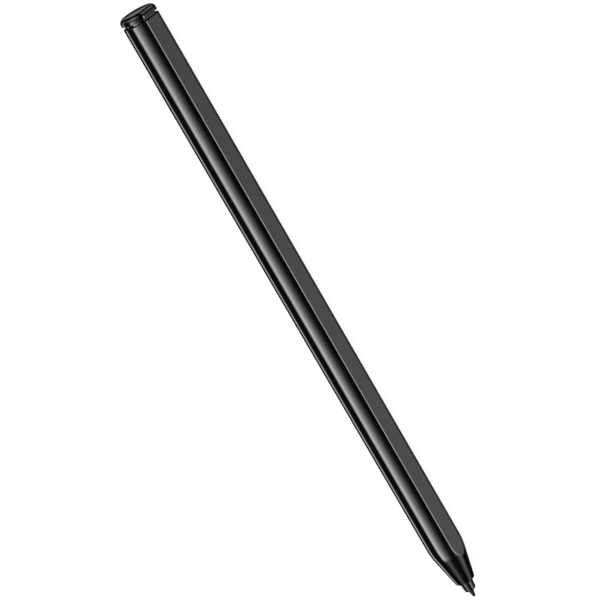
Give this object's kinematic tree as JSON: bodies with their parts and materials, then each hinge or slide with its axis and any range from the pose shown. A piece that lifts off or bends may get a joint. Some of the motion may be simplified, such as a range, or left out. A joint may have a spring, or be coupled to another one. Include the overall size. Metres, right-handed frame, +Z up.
{
  "type": "stylus pen",
  "caption": "Slim black tablet stylus with a flat magnetic side, a push button at the tail and a pressure-sensing nib that pulls out.",
  "frame": {"origin": "under the middle of the pen's length, on the surface it lies on", "axes": "the pen lies along X with the nib towards -X and the tail button towards +X, -Y is the outward normal of the flat side, +Z is up"},
  "size_m": [0.1618, 0.0084, 0.0089],
  "materials": {
    "barrel_black": "gloss",
    "collar_black": "satin gloss",
    "nib_grey": "matte",
    "brass": "turned",
    "spring_steel": "drawn wire",
    "screw_steel": "plated",
    "carrier_grey": "moulded",
    "pad_silicone": "matte",
    "foam": "open foam",
    "sensor_ceramic": "fired",
    "plate_steel": "brushed",
    "strip_amber": "film",
    "board_green": "solder mask",
    "chip_black": "moulded",
    "crystal_can": "plated",
    "ceramic_tan": "fired",
    "ceramic_white": "fired",
    "socket_ivory": "moulded",
    "copper": "enamelled wire",
    "ferrite": "sintered",
    "magnet_nickel": "plated",
    "cell_can": "drawn can",
    "lead_rubber": "insulation",
    "switch_case": "moulded",
    "switch_plunger": "moulded"
  },
  "bodies": {
    "pen_body": {"barrel": "barrel_black", "tip_collar": "collar_black", "tilt_ring": "brass", "tip_spring": "spring_steel", "button_spring": "spring_steel", "sensor_screws": "screw_steel", "board_screws": "screw_steel", "carrier": "carrier_grey", "sensor_block": "carrier_grey", "tail_guide": "carrier_grey", "sensor_pad": "pad_silicone", "battery_pad": "foam", "force_sensor": "sensor_ceramic", "sensor_plate": "plate_steel", "sensor_flex": "strip_amber", "flex_ribbon": "strip_amber", "main_board": "board_green", "tail_board": "board_green", "battery_board": "board_green", "controller_chip": "chip_black", "charger_chip": "chip_black", "radio_chip": "chip_black", "crystal": "crystal_can", "board_passives": "ceramic_tan", "chip_antenna": "ceramic_white", "battery_socket": "socket_ivory", "ribbon_sockets": "socket_ivory", "charge_coil": "copper", "coil_leads": "copper", "coil_ferrite": "ferrite", "power_inductor": "ferrite", "front_magnets": "magnet_nickel", "rear_magnets": "magnet_nickel", "battery_cell": "cell_can", "battery_leads": "lead_rubber", "tail_switch": "switch_case"},
    "tail_button": {"tail_button": "barrel_black", "button_clip": "spring_steel"},
    "switch_plunger": {"switch_stem": "switch_plunger"},
    "nib_carrier": {"nib_holder": "brass"},
    "nib": {"nib": "nib_grey"}
  },
  "joints": [
    {"name": "tail_button_press", "type": "slide", "parent": "pen_body", "child": "tail_button", "axis": [-1, 0, 0], "range_m": [0, 0.0005], "stiffness_N_per_m": 1500, "springref_m": -0.0004, "deforming": ["button_spring"]},
    {"name": "switch_plunger_press", "type": "slide", "parent": "pen_body", "child": "switch_plunger", "axis": [-1, 0, 0], "range_m": [0, 0.0005]},
    {"name": "nib_press", "type": "slide", "parent": "pen_body", "child": "nib_carrier", "axis": [1, 0, 0], "range_m": [0, 0.00035], "stiffness_N_per_m": 4000, "springref_m": -0.00005, "deforming": ["tip_spring", "sensor_pad"]},
    {"name": "nib_pull_out", "type": "slide", "parent": "nib_carrier", "child": "nib", "axis": [-1, 0, 0], "range_m": [0, 0.0125]}
  ],
  "couplings": [
    {"joint": "switch_plunger_press", "follows": "tail_button_press", "ratio": 1}
  ]
}
